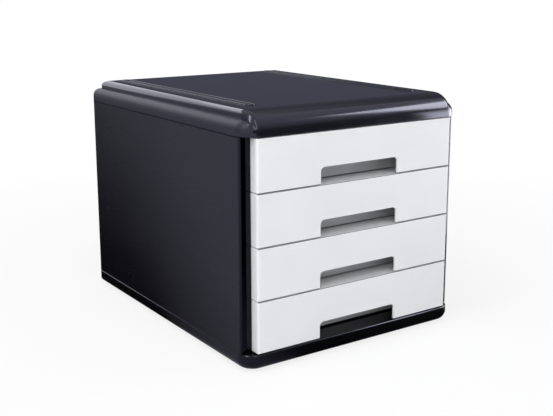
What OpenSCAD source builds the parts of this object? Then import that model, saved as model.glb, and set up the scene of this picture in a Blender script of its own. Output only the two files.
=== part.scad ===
// Desk cabinet with four drawers for A4 and letter paper.
// Millimetres, +Z up. The origin is on the floor, under the centre of the cabinet.
// The drawers open towards -Y.

/* [Cabinet] */
// Width over the side panels
case_w = 275; // [255:1:340]
// Depth from the drawer fronts to the back
case_d = 348; // [330:1:420]
// Wall of the outer mouldings
wall = 2.5; // [2:0.1:3.5]
// Width of the hollow side wall, from its outer face to the drawer opening
side_w = 12.8; // [11:0.1:18]
// How far the side panels stand back behind the drawer fronts
side_setback = 11; // [6:0.5:16]
// Edge radius of the side panels
panel_edge_r = 2.4; // [1:0.1:4]
// Width of the 45-degree break on the edges beside the seams
seam_break = 0.6; // [0.2:0.1:1]

/* [Top cover] */
// Height of the cover above the side panels
cover_h = 24.6; // [20:0.1:34]
// Height of the low shoulder along the sides
shoulder_h = 15.2; // [13:0.1:18]
// Edge radius of the shoulder
shoulder_r = 11.6; // [8:0.1:12.5]
// How far the raised crown stands in from the sides
crown_inset = 8.6; // [5:0.1:14]
// Edge radius of the crown
crown_r = 9; // [4:0.1:9.3]
// Radius of the crown's rounded rear edge
crown_rear_r = 13; // [6:0.5:18]
// Plan radius of the crown's rear corners
crown_corner_r = 8; // [5:0.5:12]
// Plan radius of the front corners of cover and base
front_corner_r = 18.6; // [14:0.1:24]
// Plan radius of the rear corners
rear_corner_r = 4; // [3:0.5:8]
// Radius of the rear edges of shoulder and base
rear_edge_r = 3; // [1:0.5:4]
// Distance from the side to the middle of a bead loop
loop_inset = 34.5; // [30:0.5:60]
// Width of a bead loop, between the middles of its two long beads
loop_w = 9.5; // [6:0.5:16]
// Height of a bead
bead_h = 0.8; // [0.5:0.1:1.2]
// Distance from the drawer fronts to a loop's front end
loop_front = 40; // [32:1:90]
// Distance from a loop's rear end to the back
loop_rear = 20; // [20:1:60]

/* [Base] */
// Height of the base moulding
base_h = 16.7; // [15:0.1:24]
// Radius under the base's lower edge
base_edge_r = 10.5; // [6:0.1:12]
// Gap between the base and the lowest drawer front
base_gap = 1.5; // [0.8:0.1:3]
// Diameter of a foot
foot_d = 18; // [12:0.5:24]
// How far a foot stands out below the base
foot_out = 1.5; // [1:0.1:3]
// How deep a foot sits in its recess
foot_recess = 1.6; // [1:0.1:3]
// Distance from the base's front and rear edges to a foot's centre
foot_inset = 38; // [32:1:60]
// Distance from the base's sides to a foot's centre
foot_side_inset = 50; // [38:1:70]

/* [Drawers] */
// Height from one drawer to the next
drawer_pitch = 53.5; // [46:0.5:80]
// Gap between two drawer fronts
front_gap = 0.8; // [0.5:0.1:1.5]
// Depth of a drawer front, from its face to the tray
front_depth = 27; // [20:0.5:36]
// Wall of a drawer front
front_wall = 2.2; // [1.6:0.1:3]
// Radius of a drawer front's upright edges
front_edge_r = 2.6; // [1:0.1:4]
// Width of the finger notch
notch_w = 99; // [60:1:140]
// Height of the finger notch
notch_h = 17.4; // [12:0.2:22]
// Radius in the notch's upper corners
notch_r = 4.6; // [2:0.1:8]
// Flare at the notch's lower corners
notch_flare = 1.4; // [0.6:0.1:3]
// Wall of a tray
tray_wall = 2; // [1.4:0.1:3]
// Radius of a tray's inner upright corners
tray_corner_r = 6; // [3:0.5:12]
// How far a drawer pulls out
travel = 240; // [180:1:252]

/* [Runners] */
// Thickness of a runner rib
rib_t = 2; // [1.5:0.1:3]
// How far a runner rib reaches into the cabinet
rib_reach = 6.6; // [5:0.1:9]
// Clearance above and below a drawer's rim in its runner
slide_clear = 0.3; // [0.25:0.05:0.8]
// Height of a stop block
stop_h = 5; // [4:0.5:8]

/* [Fasteners] */
// Shank diameter of a base screw
screw_d = 3.5; // [2.5:0.1:4.5]
// Head diameter of a base screw
screw_head_d = 6; // [5:0.1:6.6]
// Length of a base screw under its head
screw_len = 14; // [10:1:20]

/* [Hidden] */
$fn = 64;

drawer_count = 4;
eps = 0.01;
// Overlap of shapes that are joined into one moulding
bite = 0.5;
// Overrun of a cut past the face that it opens
over = 1;
// Clearance between pieces that fit into each other
fit = 0.3;
// Least radius inside a corner of a moulding
tight_r = 0.4;

// Planes of the cabinet
front_y = -case_d / 2;
back_y = case_d / 2;
panel_front_y = front_y + side_setback;
base_top_z = foot_out + base_h;
stack_z = base_top_z + base_gap;
stack_h = drawer_count * drawer_pitch;
cover_z = stack_z + stack_h;
top_z = cover_z + cover_h;
panel_h = cover_z - base_top_z;
opening_w = case_w - 2 * side_w;

// Top cover
crown_w = case_w - 2 * crown_inset;
shoulder_setback = 0.6;
crown_rear_setback = 3;
// How far the crown's hollow turns on below the cover's lower edge, in degrees
crown_overturn = 5;
bead_w = 1.8;
bead_edge_r = 0.7;
bead_facets = 32;
cover_rib_t = 1.8;
cover_rib_h = 7;
cover_rib_count = 5;
snap_count = 4;
snap_w = 12;
snap_t = 1.8;
snap_drop = 9;

// Side panels, liners and back panel
liner_wall = 2;
back_wall = 2.5;
back_clear = 0.1;
back_field_margin = 14;
back_field_deep = 0.8;
liner_front_y = panel_front_y + wall;
liner_rear_y = back_y - wall - back_wall - 2 * back_clear;
standoff_r = 4;
standoff_count = 4;
standoff_levels = 2;
// Length left beyond the end standoffs, as a share of their spacing
standoff_end = 0.3;
screw_boss_r = 3.3;
screw_boss_h = 18;
screw_x = opening_w / 2 + liner_wall + fit + screw_boss_r;
screw_inset = 34;
screw_y = [panel_front_y + screw_inset, 0, back_y - screw_inset];
screw_head_h = 2.4;
screw_seat = 5;
screw_clear = 0.15;
screw_grip = 0.05;

// Base
base_rim = 14;
base_rib_t = 2;
base_rib_h = 4;
pocket_wall = 4;
pocket_floor = 5;
pocket_screw_gap = 7;
base_rib_count = [3, 4];
foot_boss_wall = 3;

// Drawer fronts and trays, with heights above the lower edge of the front
front_side_gap = 0.5;
front_w = opening_w - 2 * front_side_gap;
front_h = drawer_pitch - front_gap;
tray_y = front_y + front_depth;
tray_lift = 0.3;
rim_drop = 2.7;
rim_t = 2;
rim_z = front_h - rim_drop;
rim_setback = 0.5;
rim_w = front_w - 2 * rim_setback;
tray_gap = 0.6;
tray_w = opening_w - 2 * (rib_reach + tray_gap);
ledge_w = (rim_w - tray_w) / 2;
rear_stop_d = 4.2;
tray_rear_y = liner_rear_y - rear_stop_d - fit;
tray_d = tray_rear_y - tray_y;
tray_h = rim_z - tray_lift;
rail_top = rim_z - rim_t - slide_clear;
guide_z = rim_z + slide_clear;
runner_y = tray_y + tray_wall + fit;
lug_d = 8;
lug_h = 3;
lug_y = tray_rear_y - tray_corner_r - lug_d;
lug_gap = 0.5;
stop_d = 3;
stop_setback = 0.8;
stop_y = lug_y - travel - lug_gap - stop_d;
clip_w = 12;
clip_t = 1.6;
clip_root = 6;
clip_x = (front_w + notch_w) / 4;
web_t = 2;

function drawer_z(n) = stack_z + (drawer_count - n) * drawer_pitch;

// ---- Outlines -------------------------------------------------------------------------------

// Plan outline from y0 to y1 with its own radius at the front and the rear corners
module plan(w, y0, y1, front_r, rear_r) {
    half_d = (y1 - y0) / 2;
    translate([-w / 2 + front_r, y0]) square([w - 2 * front_r, half_d]);
    translate([-w / 2 + rear_r, y1 - half_d]) square([w - 2 * rear_r, half_d]);
    translate([-w / 2, y0 + front_r]) square([w, y1 - y0 - front_r - rear_r]);
    for (side = [-1, 1]) {
        if (front_r > 0) translate([side * (w / 2 - front_r), y0 + front_r]) circle(front_r);
        if (rear_r > 0) translate([side * (w / 2 - rear_r), y1 - rear_r]) circle(rear_r);
    }
}

// Draws its children on the right, or mirrored on the left
module on_side(side) {
    if (side > 0) children();
    else mirror([1, 0, 0]) children();
}

// Quarter of a disc, towards +X and +Y
module quarter_disc(r) {
    intersection() {
        circle(r);
        square(r + over);
    }
}

// Takes a 45-degree break of width c off the lower right corner of a section that ends at x = w
module lower_break(w, c) {
    difference() {
        children();
        if (c > 0) polygon([[w - c - over, -over], [w + over, -over], [w + over, c + over]]);
    }
}

// Half of a rounded section, from the Y axis outwards, for turning round a corner
module half_arch(w, h, r, c = 0) {
    lower_break(w, c) {
        square([w, h - r]);
        square([w - r, h]);
        translate([w - r, h - r]) quarter_disc(r);
    }
}

// Upright section with rounded top corners, standing on the X axis
module arch(w, h, r, c = 0) {
    for (side = [-1, 1]) on_side(side) half_arch(w / 2, h, r, c);
}

// An arch section run along Y from y0 to y1
module arch_run(w, h, r, y0, y1, c = 0) {
    translate([0, y0, 0]) rotate([90, 0, 0]) mirror([0, 0, 1]) linear_extrude(y1 - y0) arch(w, h, r, c);
}

// Breaks the front and side edges, above and below, of a block that stands on z = 0
module broken_edges(w, y0, y1, h, c) {
    intersection() {
        children();
        translate([-w / 2 - over, 0, 0])
            rotate([90, 0, 90])
                linear_extrude(w + 2 * over)
                    polygon([
                        [y0, c], [y0 + c, 0], [y1 + over, 0],
                        [y1 + over, h], [y0 + c, h], [y0, h - c]
                    ]);
        translate([0, y1 + over, 0])
            rotate([90, 0, 0])
                linear_extrude(y1 - y0 + 2 * over)
                    polygon([
                        [-w / 2, c], [-w / 2 + c, 0], [w / 2 - c, 0], [w / 2, c],
                        [w / 2, h - c], [w / 2 - c, h], [-w / 2 + c, h], [-w / 2, h - c]
                    ]);
    }
}

// A side view with only its upper rear corner rounded, run across the width
module rear_rounded(w, h, r, y0, y1) {
    translate([-w / 2, 0, 0])
        rotate([90, 0, 90])
            linear_extrude(w) {
                translate([y0, 0]) square([y1 - y0 - r, h]);
                translate([y0, 0]) square([y1 - y0, h - r]);
                translate([y1 - r, h - r]) quarter_disc(r);
            }
}

// ---- Forms of the cover and the base --------------------------------------------------------

// Rounded slab: its side edge turns round the front corners, and its rear edge is tighter.
// It stands on z = 0 with its lower edges broken by c, and goes down by skirt to cut through.
module rounded_slab(w, y0, y1, h, edge_r, front_r, rear_r, rear_edge, c = 0, skirt = 0) {
    split_y = y0 + front_r;
    translate([0, 0, -skirt]) {
        full_h = h + skirt;
        for (side = [-1, 1])
            translate([side * (w / 2 - front_r), split_y, 0])
                rotate([0, 0, side > 0 ? -90 : -180])
                    rotate_extrude(angle = 90) half_arch(front_r, full_h, edge_r, c);
        // Front edge between the two turned corners
        translate([0, split_y, 0])
            rotate([0, 0, -90])
                rotate([90, 0, 0])
                    linear_extrude(w - 2 * front_r, center = true)
                        half_arch(front_r, full_h, edge_r, c);
        intersection() {
            arch_run(w, full_h, edge_r, split_y, y1, c);
            rear_rounded(w, full_h, rear_edge, y0, y1);
            linear_extrude(full_h) plan(w, y0, y1, front_r, rear_r);
        }
    }
}

// Crown of the cover: its rounded section runs along the top and turns down over the front
module crown(inset, skirt_angle = 0) {
    w = crown_w - 2 * inset;
    h = cover_h - inset;
    r = crown_r - inset;
    turn_y = front_y + cover_h;
    end_y = back_y - crown_rear_setback - inset;
    translate([0, turn_y, cover_z])
        rotate([0, 90, 0])
            rotate([0, 0, 180])
                rotate_extrude(angle = 90 + skirt_angle)
                    rotate([0, 0, -90]) arch(w, h, r);
    drop = skirt_angle > 0 ? over : 0;
    translate([0, 0, cover_z - drop])
        intersection() {
            arch_run(w, h + drop, r, turn_y, end_y);
            rear_rounded(w, h + drop, crown_rear_r - inset, front_y, end_y);
            linear_extrude(h + drop) plan(w, front_y, end_y, 0, crown_corner_r - inset);
        }
}

// Whole outer form of the cover, or its hollow when inset by the wall
module cover_form(inset, skirt = 0) {
    translate([0, 0, cover_z])
        rounded_slab(
            case_w - 2 * inset,
            front_y + shoulder_setback + inset,
            back_y - inset,
            shoulder_h - inset,
            shoulder_r - inset,
            front_corner_r - inset,
            max(rear_corner_r - inset, tight_r),
            max(rear_edge_r - inset, tight_r),
            skirt > 0 ? 0 : seam_break,
            skirt
        );
    crown(inset, skirt > 0 ? crown_overturn : 0);
}

// Section of a bead, rooted in the crown's top
module bead_section() {
    translate([0, -bite]) arch(bead_w, bead_h + bite, bead_edge_r);
}

// Long round-ended loop of raised bead, outside the feet of a unit stacked on top
module bead_loop(side) {
    x = side * (case_w / 2 - loop_inset);
    half_w = loop_w / 2;
    straight = case_d - loop_front - loop_rear - loop_w;
    translate([x, front_y + loop_front + half_w, top_z]) {
        for (edge = [-half_w, half_w])
            translate([edge, 0, 0])
                rotate([90, 0, 0]) mirror([0, 0, 1]) linear_extrude(straight) bead_section();
        for (rear = [0, 1])
            translate([0, rear * straight, 0])
                rotate([0, 0, 180 * (1 - rear)])
                    rotate_extrude(angle = 180, $fn = bead_facets)
                        translate([half_w, 0]) bead_section();
    }
}

// Cross ribs under the cover's ceiling
module cover_ribs() {
    span_y = case_d - 2 * cover_h - crown_rear_r;
    for (i = [0:cover_rib_count - 1]) {
        y = front_y + cover_h + span_y * (i + 0.5) / cover_rib_count;
        translate([-crown_w / 2 + crown_r + wall, y, top_z - wall - cover_rib_h])
            cube([crown_w - 2 * crown_r - 2 * wall, cover_rib_t, cover_rib_h + eps]);
    }
}

// Snap tongues that drop into the hollow side walls
module cover_snaps() {
    for (side = [-1, 1])
        for (i = [0:snap_count - 1]) {
            y = front_y + case_d * (i + 0.5) / snap_count;
            x = side * (case_w / 2 - wall - fit - snap_t / 2);
            translate([x - snap_t / 2, y - snap_w / 2, cover_z - snap_drop])
                cube([snap_t, snap_w, snap_drop + shoulder_h - shoulder_r + over]);
            // Foot that ties the tongue to the cover's wall, above the side panel
            translate([x + side * (snap_t / 2 + fit) - snap_t / 2, y - snap_w / 2, cover_z + fit])
                cube([snap_t, snap_w, shoulder_h - shoulder_r + over - fit]);
        }
}

module top_cover() {
    color("#2b2c33")
        union() {
            difference() {
                cover_form(0);
                cover_form(wall, over);
            }
            for (side = [-1, 1]) bead_loop(side);
            cover_ribs();
            cover_snaps();
        }
}

// ---- Base -----------------------------------------------------------------------------------

module at_feet() {
    for (side = [-1, 1])
        for (y = [front_y + foot_inset, back_y - foot_inset])
            translate([side * (case_w / 2 - foot_side_inset), y, 0]) children();
}

module at_screws() {
    for (side = [-1, 1])
        for (y = screw_y)
            translate([side * screw_x, y, 0]) children();
}

// Ribs under the deck of the base
module base_ribs() {
    inner_w = case_w - 2 * base_rim;
    inner_d = case_d - 2 * base_rim;
    z = base_top_z - wall - base_rib_h;
    for (i = [1:base_rib_count[0]]) {
        x = -inner_w / 2 + inner_w * i / (base_rib_count[0] + 1);
        translate([x - base_rib_t / 2, -inner_d / 2 - bite, z])
            cube([base_rib_t, inner_d + 2 * bite, base_rib_h + bite]);
    }
    for (i = [1:base_rib_count[1]]) {
        y = -inner_d / 2 + inner_d * i / (base_rib_count[1] + 1);
        translate([-inner_w / 2 - bite, y - base_rib_t / 2, z])
            cube([inner_w + 2 * bite, base_rib_t, base_rib_h + bite]);
    }
}

// Pockets that core the rim between the screws, under the hollow side walls
module rim_pockets() {
    x0 = screw_x - screw_boss_r;
    for (side = [-1, 1])
        for (i = [0, 1]) {
            y0 = screw_y[i] + pocket_screw_gap;
            y1 = screw_y[i + 1] - pocket_screw_gap;
            on_side(side)
                translate([x0, y0, foot_out + pocket_floor])
                    cube([case_w / 2 - pocket_wall - x0, y1 - y0, base_h - pocket_floor + over]);
        }
}

module base() {
    boss_r = foot_d / 2 + foot_boss_wall;
    color("#191a1e")
        difference() {
            union() {
                difference() {
                    // The slab is the cover's form turned upside down
                    translate([0, 0, base_top_z])
                        mirror([0, 0, 1])
                            rounded_slab(
                                case_w, front_y, back_y, base_h,
                                base_edge_r, front_corner_r, rear_corner_r, rear_edge_r,
                                seam_break
                            );
                    translate([0, 0, -over])
                        linear_extrude(base_top_z - wall + over)
                            plan(
                                case_w - 2 * base_rim, front_y + base_rim, back_y - base_rim,
                                front_corner_r / 2, rear_corner_r
                            );
                }
                base_ribs();
                at_feet() translate([0, 0, foot_out]) cylinder(h = base_h - eps, r = boss_r);
            }
            rim_pockets();
            at_feet()
                translate([0, 0, foot_out - over])
                    cylinder(h = foot_recess + over, r = foot_d / 2 + fit / 2);
            at_screws() {
                translate([0, 0, -over]) cylinder(h = base_top_z + 2 * over, r = screw_d / 2 + screw_clear);
                translate([0, 0, -over])
                    cylinder(h = base_top_z - screw_seat + over, r = screw_head_d / 2 + screw_clear);
            }
        }
}

module foot(side, rear) {
    y = rear ? back_y - foot_inset : front_y + foot_inset;
    chamfer = 0.5;
    color("#141415")
        translate([side * (case_w / 2 - foot_side_inset), y, 0])
            rotate_extrude()
                polygon([
                    [0, 0],
                    [foot_d / 2 - chamfer, 0],
                    [foot_d / 2, chamfer],
                    [foot_d / 2, foot_out + foot_recess],
                    [0, foot_out + foot_recess]
                ]);
}

module base_screw() {
    seat_z = base_top_z - screw_seat;
    cross_w = 0.6 * screw_head_d;
    cross_t = 0.3 * screw_d;
    cross_deep = 0.6 * screw_head_h;
    difference() {
        union() {
            translate([0, 0, seat_z]) cylinder(h = screw_len, r = screw_d / 2);
            translate([0, 0, seat_z - screw_head_h]) cylinder(h = screw_head_h, r = screw_head_d / 2);
        }
        // Cross recess in the head
        for (turn = [0, 90])
            rotate([0, 0, turn])
                translate([-cross_w / 2, -cross_t / 2, seat_z - screw_head_h - over])
                    cube([cross_w, cross_t, cross_deep + over]);
    }
}

module base_screws() {
    color("silver") at_screws() base_screw();
}

// ---- Sides and back -------------------------------------------------------------------------

// Outer side panel: a skin with a flange along its front and its rear edge
module side_panel(side) {
    color("#26272c")
        on_side(side)
            difference() {
                union() {
                    translate([0, 0, base_top_z])
                        broken_edges(case_w, panel_front_y, back_y, panel_h, seam_break)
                            linear_extrude(panel_h) side_panel_plan();
                    for (y = screw_y) {
                        translate([screw_x, y, base_top_z]) cylinder(h = screw_boss_h, r = screw_boss_r);
                        translate([screw_x, y - web_t / 2, base_top_z])
                            cube([case_w / 2 - wall - screw_x + eps, web_t, screw_boss_h]);
                    }
                }
                for (y = screw_y)
                    translate([screw_x, y, base_top_z - over])
                        cylinder(h = screw_boss_h + over - wall, r = screw_d / 2 + screw_grip);
            }
}

// Plan of the right side panel
module side_panel_plan() {
    x0 = case_w / 2 - side_w;
    difference() {
        union() {
            translate([x0, panel_front_y + panel_edge_r])
                square([side_w, back_y - panel_front_y - panel_edge_r - rear_corner_r]);
            translate([x0, panel_front_y]) square([side_w - panel_edge_r, panel_edge_r + eps]);
            translate([x0, back_y - rear_corner_r - eps])
                square([side_w - rear_corner_r, rear_corner_r + eps]);
            translate([case_w / 2 - panel_edge_r, panel_front_y + panel_edge_r]) circle(panel_edge_r);
            translate([case_w / 2 - rear_corner_r, back_y - rear_corner_r]) circle(rear_corner_r);
        }
        translate([x0 - over, panel_front_y + wall])
            square([side_w - wall + over, back_y - panel_front_y - 2 * wall]);
    }
}

// Runner of one drawer: the rail below its rim, the guide above it and the front stop
module runner(n) {
    z = drawer_z(n);
    x0 = opening_w / 2 - rib_reach;
    stop_x = x0 + stop_setback;
    stop_reach = rib_reach - stop_setback + bite;
    run = liner_rear_y - runner_y;
    for (level = [rail_top - rib_t, guide_z])
        translate([x0, runner_y, z + level]) cube([rib_reach + bite, run, rib_t]);
    translate([stop_x, stop_y, z + rail_top - rib_t - stop_h])
        cube([stop_reach, stop_d, stop_h + bite]);
    // Rear stop between rail and guide
    translate([stop_x, liner_rear_y - rear_stop_d, z + rail_top - bite])
        cube([stop_reach, rear_stop_d, guide_z - rail_top + 2 * bite]);
}

// Inner side frame that carries the runners and holds the side double-walled
module runner_liner(side) {
    x0 = opening_w / 2;
    standoff_x = case_w / 2 - wall;
    color("#1d1e22")
        on_side(side)
            union() {
                translate([x0, liner_front_y + back_clear, base_top_z])
                    cube([liner_wall, liner_rear_y - liner_front_y - back_clear, panel_h]);
                for (n = [1:drawer_count]) runner(n);
                for (i = [0:standoff_count - 1])
                    for (k = [0:standoff_levels - 1]) {
                        share = (i + standoff_end) / (standoff_count - 1 + 2 * standoff_end);
                        y = liner_front_y + (liner_rear_y - liner_front_y) * share;
                        z = base_top_z + panel_h * (k + 0.5) / standoff_levels;
                        translate([x0 + liner_wall - bite, y, z])
                            rotate([0, 90, 0])
                                cylinder(h = standoff_x - x0 - liner_wall + bite, r = standoff_r);
                    }
            }
}

module back_panel() {
    w = case_w - 2 * (wall + fit);
    y0 = liner_rear_y + back_clear;
    border = side_w + back_field_margin;
    color("#26272c")
        difference() {
            translate([-w / 2, y0, base_top_z]) cube([w, back_wall, panel_h]);
            // Sunk field in the rear face
            translate([-w / 2 + border, y0 + back_wall - back_field_deep, base_top_z + border])
                cube([w - 2 * border, back_field_deep + over, panel_h - 2 * border]);
        }
}

// ---- Drawers --------------------------------------------------------------------------------

// Front view of the finger notch, with rounded upper and flared lower corners
module notch_outline() {
    translate([-notch_w / 2 + notch_r, -over]) square([notch_w - 2 * notch_r, notch_h + over]);
    translate([-notch_w / 2, -over]) square([notch_w, notch_h - notch_r + over]);
    for (side = [-1, 1]) {
        translate([side * (notch_w / 2 - notch_r), notch_h - notch_r]) circle(notch_r);
        on_side(side)
            difference() {
                translate([notch_w / 2 - eps, -over]) square([notch_flare + eps, notch_flare + over]);
                translate([notch_w / 2 + notch_flare, notch_flare]) circle(notch_flare);
            }
    }
}

// Plan of a drawer front, inset by its wall for the hollow
module front_plan(inset) {
    w = front_w - 2 * inset;
    r = max(front_edge_r - inset, tight_r);
    y0 = front_y + inset;
    y1 = tray_y;
    translate([-w / 2 + r, y0]) square([w - 2 * r, y1 - y0]);
    translate([-w / 2, y0 + r]) square([w, y1 - y0 - r]);
    for (side = [-1, 1]) translate([side * (w / 2 - r), y0 + r]) circle(r);
}

// Drawer front: a face with side returns and a top, open below so that fingers reach behind it
module drawer_front(n) {
    color("#e4e5e6")
        translate([0, 0, drawer_z(n)]) {
            difference() {
                broken_edges(front_w, front_y, tray_y, front_h, seam_break)
                    linear_extrude(front_h) front_plan(0);
                translate([0, 0, -over])
                    linear_extrude(front_h - front_wall + over) {
                        front_plan(front_wall);
                        translate([-front_w / 2 + front_wall, tray_y - over])
                            square([front_w - 2 * front_wall, 2 * over]);
                    }
                translate([0, front_y + front_wall + over, 0])
                    rotate([90, 0, 0])
                        linear_extrude(front_wall + 2 * over) notch_outline();
            }
            front_webs();
            front_clips();
        }
}

// Upright webs that stiffen the face and carry the lower clips
module front_webs() {
    for (side = [-1, 1])
        translate([side * clip_x - web_t / 2, front_y + front_wall - bite, front_wall])
            cube([web_t, front_depth - front_wall + bite, front_h - 2 * front_wall + bite]);
}

// Clips that plug into the tray's front wall, grown by gap for their slots
module front_clips(gap = 0) {
    for (side = [-1, 1])
        for (z = [front_wall - eps, front_h - front_wall - clip_t + eps])
            translate([side * clip_x - clip_w / 2 - gap, tray_y - clip_root, z - gap])
                cube([clip_w + 2 * gap, clip_root + tray_wall - fit + 2 * gap, clip_t + 2 * gap]);
}

// Open drawer box with rims that ride in the runners
module drawer_tray(n) {
    inner_w = tray_w - 2 * tray_wall;
    color("#cfd0d2")
        translate([0, 0, drawer_z(n)])
            difference() {
                union() {
                    translate([0, 0, tray_lift])
                        linear_extrude(tray_h) plan(tray_w, tray_y, tray_rear_y, 0, tray_corner_r);
                    // Front wall, as wide as the drawer front
                    translate([-rim_w / 2, tray_y, tray_lift])
                        cube([rim_w, tray_wall, front_h - tray_lift - fit]);
                    // Rims
                    translate([-rim_w / 2, tray_y, rim_z - rim_t])
                        cube([rim_w, tray_d, rim_t]);
                    // Lugs that meet the front stops
                    for (side = [-1, 1])
                        on_side(side)
                            translate([tray_w / 2 - eps, lug_y, rail_top - rib_t - slide_clear - lug_h])
                                cube([ledge_w + eps, lug_d, lug_h]);
                }
                translate([0, 0, tray_lift + tray_wall])
                    linear_extrude(front_h)
                        plan(
                            inner_w, tray_y + tray_wall, tray_rear_y - tray_wall,
                            tray_corner_r, tray_corner_r - tray_wall
                        );
                front_clips(fit / 2);
            }
}

// ---- Pieces ---------------------------------------------------------------------------------

top_cover();
base();
side_panel(-1);  // left_side_panel
side_panel(1);  // right_side_panel
runner_liner(-1);  // left_runner_liner
runner_liner(1);  // right_runner_liner
back_panel();
foot(-1, false);  // foot_front_left
foot(1, false);  // foot_front_right
foot(-1, true);  // foot_rear_left
foot(1, true);  // foot_rear_right
base_screws();
drawer_tray(1);  // drawer_1_tray
drawer_tray(2);  // drawer_2_tray
drawer_tray(3);  // drawer_3_tray
drawer_tray(4);  // drawer_4_tray
drawer_front(1);  // drawer_1_front
drawer_front(2);  // drawer_2_front
drawer_front(3);  // drawer_3_front
drawer_front(4);  // drawer_4_front
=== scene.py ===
import math

import bpy
from mathutils import Matrix, Vector

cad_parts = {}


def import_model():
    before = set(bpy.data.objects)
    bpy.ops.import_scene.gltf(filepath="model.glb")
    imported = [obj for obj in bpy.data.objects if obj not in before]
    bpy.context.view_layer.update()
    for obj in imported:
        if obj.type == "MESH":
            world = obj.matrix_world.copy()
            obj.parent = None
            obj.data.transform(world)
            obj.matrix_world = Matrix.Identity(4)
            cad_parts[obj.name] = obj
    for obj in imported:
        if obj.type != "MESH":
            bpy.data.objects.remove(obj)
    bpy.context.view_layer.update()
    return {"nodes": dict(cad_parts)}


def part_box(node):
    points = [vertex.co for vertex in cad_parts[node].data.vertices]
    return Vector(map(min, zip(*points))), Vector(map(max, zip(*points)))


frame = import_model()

# ---- The photograph's view ----------------------------------------------------------------------

PHOTO_W = 553.0
PHOTO_H = 416.0
CENTRE_ROW = 180.0       # picture row that the optical axis passes through
FOCAL_PX = 923.4
CAMERA_AT = (-0.58337, -0.88266, 0.37441)
YAW_DEG = 34.17          # from +Y towards +X
PITCH_DEG = 12.07        # downwards
ROLL_DEG = 0.12
SENSOR_MM = 36.0


def photo_camera():
    """Camera at the photograph's viewpoint, with what is left of its tilt as lens shift."""
    data = bpy.data.cameras.new("photo_camera")
    data.sensor_fit = "HORIZONTAL"
    data.sensor_width = SENSOR_MM
    data.lens = FOCAL_PX / PHOTO_W * SENSOR_MM
    data.shift_y = -(PHOTO_H / 2 - CENTRE_ROW) / PHOTO_W
    data.clip_start = 0.05
    data.clip_end = 60.0
    camera = bpy.data.objects.new("photo_camera", data)
    bpy.context.scene.collection.objects.link(camera)
    yaw, pitch, roll = (math.radians(a) for a in (YAW_DEG, PITCH_DEG, ROLL_DEG))
    forward = Vector((math.sin(yaw) * math.cos(pitch), math.cos(yaw) * math.cos(pitch), -math.sin(pitch)))
    level = Vector((math.cos(yaw), -math.sin(yaw), 0.0))
    down = forward.cross(level)
    right = math.cos(roll) * level + math.sin(roll) * down
    up = forward.cross(right) * -1.0
    turn = Matrix((right, up, -forward)).transposed().to_4x4()
    camera.matrix_world = Matrix.Translation(CAMERA_AT) @ turn
    bpy.context.scene.camera = camera


# ---- Material helpers ---------------------------------------------------------------------------

ACROSS = (1.0, 0.0, 0.0)
BACKWARDS = (0.0, 1.0, 0.0)
UP = (0.0, 0.0, 1.0)
NEAR_CORE = 0.7          # share of a reach inside which Shader.near gives a full 1


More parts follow.
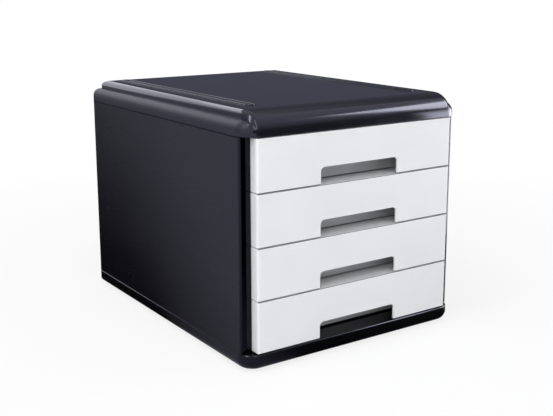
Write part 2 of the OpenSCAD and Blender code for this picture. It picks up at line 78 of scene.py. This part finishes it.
class Shader:
    """The node tree of a material or of the world, with short calls for the nodes used here."""

    def __init__(self, name, world=None):
        self.owner = world or bpy.data.materials.new(name)
        self.owner.use_nodes = True
        self.tree = self.owner.node_tree
        self.tree.nodes.clear()
        self.output = self.tree.nodes.new("ShaderNodeOutputWorld" if world else "ShaderNodeOutputMaterial")
        self.place = self.tree.nodes.new("ShaderNodeTexCoord").outputs["Object"]

    def link(self, a, b):
        self.tree.links.new(a, b)

    def noise(self, scale, detail=3.0, rough=0.5, stretch=(1.0, 1.0, 1.0)):
        mapping = self.tree.nodes.new("ShaderNodeMapping")
        mapping.inputs["Scale"].default_value = stretch
        self.link(self.place, mapping.inputs["Vector"])
        node = self.tree.nodes.new("ShaderNodeTexNoise")
        node.inputs["Scale"].default_value = scale
        node.inputs["Detail"].default_value = detail
        node.inputs["Roughness"].default_value = rough
        self.link(mapping.outputs["Vector"], node.inputs["Vector"])
        return node.outputs["Fac"]

    def spread(self, value, low, high, start=0.3, end=0.7):
        """A number that goes from low to high while the value goes from start to end."""
        node = self.tree.nodes.new("ShaderNodeMapRange")
        node.inputs["From Min"].default_value = start
        node.inputs["From Max"].default_value = end
        node.inputs["To Min"].default_value = low
        node.inputs["To Max"].default_value = high
        self.link(value, node.inputs["Value"])
        return node.outputs["Result"]

    def tones(self, value, dark, light, start=0.3, end=0.7):
        """A colour that goes from dark to light while the value goes from start to end."""
        node = self.tree.nodes.new("ShaderNodeValToRGB")
        node.color_ramp.elements[0].position = start
        node.color_ramp.elements[0].color = (*dark, 1.0)
        node.color_ramp.elements[1].position = end
        node.color_ramp.elements[1].color = (*light, 1.0)
        self.link(value, node.inputs["Fac"])
        return node.outputs["Color"]

    def along(self, way):
        """How far the surface lies along a direction from the origin, in metres."""
        node = self.tree.nodes.new("ShaderNodeVectorMath")
        node.operation = "DOT_PRODUCT"
        node.inputs[1].default_value = way
        self.link(self.place, node.inputs[0])
        return node.outputs["Value"]

    def height(self):
        return self.along(UP)

    def maths(self, operation, a, b=0.0):
        node = self.tree.nodes.new("ShaderNodeMath")
        node.operation = operation
        for socket, value in zip(node.inputs, (a, b)):
            if isinstance(value, float):
                socket.default_value = value
            else:
                self.link(value, socket)
        return node.outputs[0]

    def near(self, heights, reach):
        """1 within a reach of any of these heights, and 0 away from them."""
        found = None
        for z in heights:
            off = self.maths("ABSOLUTE", self.maths("SUBTRACT", self.height(), z))
            here = self.spread(off, 1.0, 0.0, start=reach * NEAR_CORE, end=reach)
            found = here if found is None else self.maths("MAXIMUM", found, here)
        return found

    def shaded(self, colour, amount, keep):
        """Paints shade into a colour: darkens it to a part of itself where the amount is 1."""
        node = self.tree.nodes.new("ShaderNodeMix")
        node.data_type = "RGBA"
        node.blend_type = "MULTIPLY"
        node.inputs["B"].default_value = (keep, keep, keep, 1.0)
        self.link(amount, node.inputs["Factor"])
        self.link(colour, node.inputs["A"])
        return node.outputs["Result"]

    def ramp(self, value, stops, full):
        """Colour along a length from 0 to full: each stop gives a place in metres and its colour."""
        node = self.tree.nodes.new("ShaderNodeValToRGB")
        for place, _ in stops[1:-1]:
            node.color_ramp.elements.new(place / full)
        for element, (place, colour) in zip(node.color_ramp.elements, stops):
            element.position = place / full
            element.color = (*colour, 1.0)
        self.link(self.spread(value, 0.0, 1.0, start=0.0, end=full), node.inputs["Fac"])
        return node.outputs["Color"]

    def bump(self, height, strength, distance, below=None):
        node = self.tree.nodes.new("ShaderNodeBump")
        node.inputs["Strength"].default_value = strength
        node.inputs["Distance"].default_value = distance
        self.link(height, node.inputs["Height"])
        if below is not None:
            self.link(below, node.inputs["Normal"])
        return node.outputs["Normal"]

    def principled(self, **constants):
        node = self.tree.nodes.new("ShaderNodeBsdfPrincipled")
        for name, value in constants.items():
            node.inputs[name.replace("_", " ")].default_value = value
        self.link(node.outputs["BSDF"], self.output.inputs["Surface"])
        return node


# ---- Materials ----------------------------------------------------------------------------------

CLOUD_SCALE = 14.0
WAVE_SCALE = 30.0
WAVE_STRETCH = (1.0, 0.25, 1.0)
WAVE_HEIGHT = 0.0002     # metres, as all lengths here
GRAIN_CELL = 0.00105     # the finest grain is about a quarter of this
GRAIN_HEIGHT = 0.00005

# Painted shade on the broken edges at the top and bottom of each drawer front, on the face only
SEAM_REACH = 0.0006
SEAM_PAINTED_SHADE = 0.25
EDGE_BREAK = 0.0007
EDGE_END = 0.0012

# The cover's low shoulder is less glossy than its crown
SHOULDER_W = 0.0086
SATIN_ROUGH = 0.48
SATIN_BLEND = 0.0008

# The side panels are matt along their top edge, under the cover
MATT_STRIP = 0.0009
MATT_ROUGH = 0.9
MATT_BLEND = 0.0001

# The side panels' front flanges are smoother than their sides, and painted shade makes them near black
FLANGE_DEPTH = 0.0006
POLISHED_ROUGH = 0.09
FLANGE_PAINTED_SHADE = 0.05
FLANGE_BLEND = 0.0003


def moulded_plastic(name, dark, light, rough, grain, waves=0.03, level=0.5, tint=(1, 1, 1),
                    matt_above=None, satin_beyond=None, polished_and_painted_shade_before=None, seams=None, face_y=None):
    """Injection-moulded plastic: faint cloudiness, uneven gloss, and a fine grain in the surface.
    Some pieces have a part with another finish or painted shade. It is matt above a height, satin beyond
    a distance from the middle, polished and darkened by painted shade before a place on the Y axis, or
    darkened by painted shade at the heights of the seams, from the face at face_y to just behind it."""
    s = Shader(name)
    cloud = s.noise(CLOUD_SCALE, detail=2.0)
    fine = s.noise(1.0 / GRAIN_CELL, detail=2.0, rough=0.6)
    flow = s.noise(WAVE_SCALE, detail=3.0, stretch=WAVE_STRETCH)
    shader = s.principled(IOR=1.5)
    shader.inputs["Specular IOR Level"].default_value = level
    shader.inputs["Specular Tint"].default_value = (*tint, 1.0)

    colour = s.tones(cloud, dark, light)
    gloss = s.spread(flow, rough[0], rough[1])
    if seams is not None:
        on_face = s.spread(s.along(BACKWARDS), 1.0, 0.0, start=face_y + EDGE_BREAK, end=face_y + EDGE_END)
        painted_seam_shade = s.maths("MINIMUM", s.near(seams, SEAM_REACH), on_face)
        # Painted shade along the top and bottom edges of the drawer fronts
        colour = s.shaded(colour, painted_seam_shade, SEAM_PAINTED_SHADE)
    if satin_beyond is not None:
        aside = s.maths("ABSOLUTE", s.along(ACROSS))
        satin = s.spread(aside, 0.0, SATIN_ROUGH, start=satin_beyond, end=satin_beyond + SATIN_BLEND)
        gloss = s.maths("MAXIMUM", gloss, satin)
    if matt_above is not None:
        matt = s.spread(s.height(), 0.0, MATT_ROUGH, start=matt_above, end=matt_above + MATT_BLEND)
        gloss = s.maths("MAXIMUM", gloss, matt)
    if polished_and_painted_shade_before is not None:
        end = polished_and_painted_shade_before + FLANGE_BLEND
        flange_polish_and_painted_shade = s.spread(s.along(BACKWARDS), 1.0, 0.0, start=polished_and_painted_shade_before, end=end)
        # Painted shade: the flange's colour is darkened to near black
        colour = s.shaded(colour, flange_polish_and_painted_shade, FLANGE_PAINTED_SHADE)
        gloss = s.maths("MINIMUM", gloss, s.maths("SUBTRACT", 1.0 + POLISHED_ROUGH, flange_polish_and_painted_shade))

    s.link(colour, shader.inputs["Base Color"])
    s.link(gloss, shader.inputs["Roughness"])
    slow = s.bump(flow, waves, WAVE_HEIGHT)
    s.link(s.bump(fine, grain, GRAIN_HEIGHT, below=slow), shader.inputs["Normal"])
    return s.owner


def rubber(name):
    """Matt rubber with a fine grain."""
    s = Shader(name)
    shader = s.principled(IOR=1.52)
    shader.inputs["Specular IOR Level"].default_value = 0.35
    s.link(s.tones(s.noise(220.0), (0.012, 0.012, 0.012), (0.022, 0.022, 0.021)), shader.inputs["Base Color"])
    s.link(s.spread(s.noise(400.0), 0.75, 0.92), shader.inputs["Roughness"])
    s.link(s.bump(s.noise(2500.0), 0.35, 0.00008), shader.inputs["Normal"])
    return s.owner


def zinc_plated(name):
    """Plated steel with a finely mottled gloss."""
    s = Shader(name)
    shader = s.principled(Metallic=1.0)
    s.link(s.tones(s.noise(600.0), (0.52, 0.53, 0.55), (0.68, 0.69, 0.70)), shader.inputs["Base Color"])
    s.link(s.spread(s.noise(900.0), 0.24, 0.42), shader.inputs["Roughness"])
    s.link(s.bump(s.noise(3000.0), 0.2, 0.00003), shader.inputs["Normal"])
    return s.owner


# ---- Finishes of the pieces ---------------------------------------------------------------------

COOL_TINT = (0.76, 0.78, 1.0)


def dress(material, *names):
    """Gives each of these CAD nodes one material."""
    for name in names:
        mesh = frame["nodes"][name].data
        mesh.materials.clear()
        mesh.materials.append(material)


def finishes():
    panel_low, panel_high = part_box("left_side_panel")
    cover_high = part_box("top_cover")[1]
    cover = moulded_plastic(
        "cover_plastic", (0.0045, 0.0045, 0.0065), (0.0060, 0.0060, 0.0085),
        rough=(0.11, 0.15), grain=0.08, tint=COOL_TINT, satin_beyond=cover_high[0] - SHOULDER_W)
    # The side panels' front flanges carry painted shade
    side = moulded_plastic(
        "side_plastic", (0.0035, 0.0035, 0.0052), (0.0048, 0.0048, 0.0068),
        rough=(0.26, 0.29), grain=0.30, level=0.3, tint=COOL_TINT,
        matt_above=panel_high[2] - MATT_STRIP, polished_and_painted_shade_before=panel_low[1] + FLANGE_DEPTH)
    base = moulded_plastic(
        "base_plastic", (0.0022, 0.0022, 0.0028), (0.0032, 0.0032, 0.0040),
        rough=(0.10, 0.14), grain=0.06, level=0.4, tint=COOL_TINT)
    liner = moulded_plastic(
        "liner_plastic", (0.006, 0.006, 0.008), (0.009, 0.009, 0.011),
        rough=(0.45, 0.55), grain=0.20)
    # The drawer fronts carry painted shade along their top and bottom edges
    front = moulded_plastic(
        "front_plastic", (0.750, 0.753, 0.765), (0.775, 0.778, 0.790),
        rough=(0.50, 0.56), grain=0.22, waves=0.01, level=0.12,
        seams=[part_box(f"drawer_{n}_front")[end][2] for n in range(1, 5) for end in (0, 1)],
        face_y=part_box("drawer_1_front")[0][1])
    tray = moulded_plastic(
        "tray_plastic", (0.50, 0.505, 0.515), (0.53, 0.535, 0.545),
        rough=(0.40, 0.52), grain=0.22)
    dress(cover, "top_cover")
    dress(side, "left_side_panel", "right_side_panel", "back_panel")
    dress(base, "base")
    dress(liner, "left_runner_liner", "right_runner_liner")
    dress(rubber("foot_rubber"), "foot_front_left", "foot_front_right", "foot_rear_left", "foot_rear_right")
    dress(zinc_plated("screw_steel"), "base_screws")
    for n in range(1, 5):
        dress(front, f"drawer_{n}_front")
        dress(tray, f"drawer_{n}_tray")


# ---- Stage and light ----------------------------------------------------------------------------

WORLD_LIGHT = 0.55
FLOOR_HALF = 12.0
FLOOR_WHITE = 0.80       # share of plain white in the floor near the object, which keeps its shadow light
SHADOW_NEAR = 0.25       # the floor's share of white rises from this radius to all of it at the next
SHADOW_FAR = 0.9

# Glossy-only studio. Directions are compass degrees from +Y towards +X, and brightness 1 is white.
CARD_FOOT = 0.003        # just above the floor, so that it hides the floor from reflections
GROUND_HALF = 3.2
GROUND_DARK = (0.006, 0.006, 0.008)
LEFT_FLOOR_WAY = (-0.928, -0.371, 0.0)    # square to the edge of the lighter floor on the left
LEFT_FLOOR_EDGE = 0.185
LEFT_FLOOR_SOFT = 0.06
LEFT_FLOOR_FAR = 0.9
LEFT_FLOOR_NEAR_TONE = (0.62, 0.62, 0.75)
LEFT_FLOOR_FAR_TONE = (0.98, 0.98, 1.16)
RIGHT_FLOOR_X = 0.15
RIGHT_FLOOR_X_SOFT = 0.06
RIGHT_FLOOR_WAY = (0.809, 0.588, 0.0)
RIGHT_FLOOR_EDGE = -0.05
RIGHT_FLOOR_SOFT = 0.08
RIGHT_FLOOR_TONE = (1.5, 1.5, 1.6)
NEAR_CARD_FROM = (0.350, -0.452)
NEAR_CARD_TO = (0.670, -0.100)
NEAR_CARD_TOP = 0.37
NEAR_CARD_FADE = (0.29, 0.36)             # heights between which it goes from bright to dim
NEAR_CARD_BRIGHT = (8.4, 8.4, 8.6)
NEAR_CARD_DIM = (2.0, 2.0, 2.1)
DOME_Z = 0.24
WALL_RADIUS = 3.0
WALL_RISES = (-3.0, 58.0)
WALL_SPLIT = 14.0        # direction where the dark wall begins
WALL_CORNER = 92.0       # direction where the right wall begins
BACK_RADIUS = 2.6
BACK_JOIN = 31.0         # height where the strip stands on the back panel
BACK_TONE = (2.0, 2.0, 2.15)
STRIP_TONE = (3.4, 3.4, 3.6)
RIGHT_PANEL_RADIUS = 2.4
RIGHT_PANEL_TONE = (10.4, 10.4, 10.6)
LAMP_AIM = (0.0, 0.0, 0.15)


def seen_directly(s):
    """1 for camera, mirror and glass rays, and 0 for the soft light that reaches a surface."""
    path = s.tree.nodes.new("ShaderNodeLightPath")
    direct = s.maths("MAXIMUM", path.outputs["Is Camera Ray"], path.outputs["Is Transmission Ray"])
    return s.maths("MAXIMUM", direct, path.outputs["Is Glossy Ray"])


def mesh_object(name, points, faces):
    """A mesh for the stage round the object, made from these points and faces."""
    mesh = bpy.data.meshes.new(name)
    mesh.from_pydata(points, [], faces)
    obj = bpy.data.objects.new(name, mesh)
    bpy.context.scene.collection.objects.link(obj)
    return obj


def flat_square(half, z):
    return [(-half, -half, z), (half, -half, z), (half, half, z), (-half, half, z)]


def floor():
    """Plain pale floor: it reads as white, and keeps a light shadow near the object."""
    ground = mesh_object("floor", flat_square(FLOOR_HALF, 0.0), [(0, 1, 2, 3)])
    s = Shader("floor")
    lit = s.tree.nodes.new("ShaderNodeBsdfDiffuse")
    s.link(s.tones(s.noise(3.0), (0.84, 0.84, 0.84), (0.87, 0.87, 0.87)), lit.inputs["Color"])
    white = s.tree.nodes.new("ShaderNodeEmission")
    white.inputs["Color"].default_value = (1.0, 1.0, 1.0, 1.0)
    white.inputs["Strength"].default_value = 1.0
    away = s.tree.nodes.new("ShaderNodeVectorMath")
    away.operation = "LENGTH"
    s.link(s.place, away.inputs[0])
    unshaded = s.spread(away.outputs["Value"], FLOOR_WHITE, 1.0, start=SHADOW_NEAR, end=SHADOW_FAR)
    share = s.maths("MULTIPLY", seen_directly(s), unshaded)
    mix = s.tree.nodes.new("ShaderNodeMixShader")
    s.link(share, mix.inputs["Fac"])
    s.link(lit.outputs["BSDF"], mix.inputs[1])
    s.link(white.outputs["Emission"], mix.inputs[2])
    s.link(mix.outputs[0], s.output.inputs["Surface"])
    ground.data.materials.append(s.owner)


def world():
    """Plain studio light all round, and white where the background itself is seen."""
    studio = bpy.data.worlds.new("studio")
    s = Shader("studio", studio)
    light = s.tree.nodes.new("ShaderNodeBackground")
    light.inputs["Color"].default_value = (0.97, 0.98, 1.0, 1.0)
    light.inputs["Strength"].default_value = WORLD_LIGHT
    seen = s.tree.nodes.new("ShaderNodeBackground")
    seen.inputs["Color"].default_value = (1.0, 1.0, 1.0, 1.0)
    seen.inputs["Strength"].default_value = 1.0
    mix = s.tree.nodes.new("ShaderNodeMixShader")
    s.link(seen_directly(s), mix.inputs["Fac"])
    s.link(light.outputs[0], mix.inputs[1])
    s.link(seen.outputs[0], mix.inputs[2])
    s.link(mix.outputs[0], s.output.inputs["Surface"])
    studio.cycles.sampling_method = "NONE"    # only scattered rays then meet its light
    bpy.context.scene.world = studio


def card(obj, colour, shader):
    """Paints a studio card that only reflections show: no camera, shadow or soft light meets it."""
    glow = shader.tree.nodes.new("ShaderNodeEmission")
    glow.inputs["Strength"].default_value = 1.0
    shader.link(colour, glow.inputs["Color"])
    shader.link(glow.outputs["Emission"], shader.output.inputs["Surface"])
    obj.data.materials.append(shader.owner)
    obj.visible_camera = False
    obj.visible_diffuse = False
    obj.visible_shadow = False
    obj.visible_transmission = False
    obj.visible_volume_scatter = False


def ground_card():
    """Floor that the gloss shows: dark in front and behind, pale on the left, bright on the right."""
    ground = mesh_object("ground_card", flat_square(GROUND_HALF, CARD_FOOT), [(0, 1, 2, 3)])
    s = Shader("ground_card")
    left = s.ramp(s.along(LEFT_FLOOR_WAY), (
        (LEFT_FLOOR_EDGE - LEFT_FLOOR_SOFT, GROUND_DARK),
        (LEFT_FLOOR_EDGE + LEFT_FLOOR_SOFT, LEFT_FLOOR_NEAR_TONE),
        (LEFT_FLOOR_FAR, LEFT_FLOOR_FAR_TONE)), GROUND_HALF)
    beside = s.spread(
        s.along(ACROSS), 0.0, 1.0, start=RIGHT_FLOOR_X, end=RIGHT_FLOOR_X + RIGHT_FLOOR_X_SOFT)
    behind = s.spread(
        s.along(RIGHT_FLOOR_WAY), 0.0, 1.0, start=RIGHT_FLOOR_EDGE, end=RIGHT_FLOOR_EDGE + RIGHT_FLOOR_SOFT)
    right = s.tones(
        s.maths("MINIMUM", beside, behind), (0.0, 0.0, 0.0), RIGHT_FLOOR_TONE, start=0.0, end=1.0)
    both = s.tree.nodes.new("ShaderNodeMix")
    both.data_type = "RGBA"
    both.blend_type = "LIGHTEN"
    both.inputs["Factor"].default_value = 1.0
    s.link(left, both.inputs["A"])
    s.link(right, both.inputs["B"])
    card(ground, both.outputs["Result"], s)


def towards(way_deg, rise_deg):
    """The X, Y and Z of a unit step in this compass direction and at this height, in degrees."""
    way, rise = math.radians(way_deg), math.radians(rise_deg)
    return math.sin(way) * math.cos(rise), math.cos(way) * math.cos(rise), math.sin(rise)


def curved_card(name, ways, rises, radius, stops):
    """Part of a dome round the object, between two compass directions and two heights in degrees.
    Each stop gives a height in degrees and the card's brightness there."""
    across, up = 40, 12
    points, faces = [], []
    for j in range(up + 1):
        rise = rises[0] + (rises[1] - rises[0]) * j / up
        for i in range(across + 1):
            way = ways[0] + (ways[1] - ways[0]) * i / across
            x, y, z = towards(way, rise)
            points.append((radius * x, radius * y, DOME_Z + radius * z))
    for j in range(up):
        for i in range(across):
            k = j * (across + 1) + i
            faces.append((k, k + 1, k + across + 2, k + across + 1))
    dome = mesh_object(name, points, faces)
    s = Shader(name)
    heights = [(DOME_Z + radius * math.sin(math.radians(rise)), colour) for rise, colour in stops]
    card(dome, s.ramp(s.height(), heights, radius), s)


def near_card():
    """A bright upright panel close by on the right, for the right end of the front."""
    start, end = NEAR_CARD_FROM, NEAR_CARD_TO
    low, high = CARD_FOOT, NEAR_CARD_TOP
    corners = [(*start, low), (*end, low), (*end, high), (*start, high)]
    panel = mesh_object("near_card", corners, [(0, 1, 2, 3)])
    s = Shader("near_card")
    stops = tuple(zip(NEAR_CARD_FADE, (NEAR_CARD_BRIGHT, NEAR_CARD_DIM)))
    card(panel, s.ramp(s.height(), stops, NEAR_CARD_TOP), s)


def even(tone):
    """Stops for a curved card with one brightness all over."""
    return (0.0, tone), (WALL_RISES[1], tone)


def cards():
    """What the gloss shows round the object: dark on the right, lighter on the left, bright panels."""
    ground_card()
    near_card()
    top = WALL_RISES[1]
    curved_card("dark_wall", (WALL_SPLIT, WALL_CORNER), WALL_RISES, WALL_RADIUS, (
        (0.0, (0.084, 0.088, 0.125)), (14.0, (0.11, 0.115, 0.15)),
        (44.0, (0.22, 0.22, 0.27)), (top, (0.60, 0.60, 0.68))))
    curved_card("right_wall", (WALL_CORNER, 200.0), WALL_RISES, WALL_RADIUS, (
        (0.0, (0.07, 0.07, 0.09)), (16.0, (0.10, 0.10, 0.12)), (26.0, (0.50, 0.50, 0.56)),
        (40.0, (0.80, 0.80, 0.88)), (top, (1.1, 1.1, 1.2))))
    curved_card("left_wall", (-75.0, WALL_SPLIT), WALL_RISES, WALL_RADIUS, (
        (0.0, (0.38, 0.38, 0.46)), (20.0, (0.42, 0.42, 0.50)),
        (44.0, (0.65, 0.65, 0.75)), (top, (0.95, 0.95, 1.0))))
    curved_card("back_panel_card", (-25.0, WALL_SPLIT), (13.0, BACK_JOIN), BACK_RADIUS, even(BACK_TONE))
    curved_card("back_strip_card", (-34.0, WALL_SPLIT), (BACK_JOIN, 37.0), BACK_RADIUS, even(STRIP_TONE))
    curved_card("right_panel_card", (101.0, 132.0), (-4.5, 40.0), RIGHT_PANEL_RADIUS, (
        (0.0, (0.9, 0.9, 1.0)), (20.0, (1.1, 1.1, 1.2)),
        (24.5, RIGHT_PANEL_TONE), (40.0, RIGHT_PANEL_TONE)))


def softbox(name, way, rise, distance, width, height, radiance, in_gloss=True):
    """Area light that faces the object from a compass direction and a height in degrees."""
    aim = Vector(LAMP_AIM)
    at = aim + distance * Vector(towards(way, rise))
    data = bpy.data.lights.new(name, "AREA")
    data.shape = "RECTANGLE"
    data.size = width
    data.size_y = height
    data.energy = radiance * math.pi * width * height
    lamp = bpy.data.objects.new(name, data)
    bpy.context.scene.collection.objects.link(lamp)
    lamp.matrix_world = Matrix.Translation(at) @ (aim - at).to_track_quat("-Z", "Y").to_matrix().to_4x4()
    lamp.visible_glossy = in_gloss


def lights():
    """A soft key that the gloss doesn't show, and two strips that it does."""
    softbox("key", way=-142, rise=32, distance=1.3, width=0.7, height=0.7, radiance=3.3, in_gloss=False)
    softbox("front_strip", way=-174, rise=46, distance=2.0, width=0.45, height=1.4, radiance=2.4)
    softbox("left_strip", way=-101, rise=58, distance=2.0, width=0.42, height=1.4, radiance=7.0)


# ---- Make the scene -----------------------------------------------------------------------------

bpy.context.scene.view_settings.view_transform = "Standard"
photo_camera()
finishes()
floor()
world()
cards()
lights()
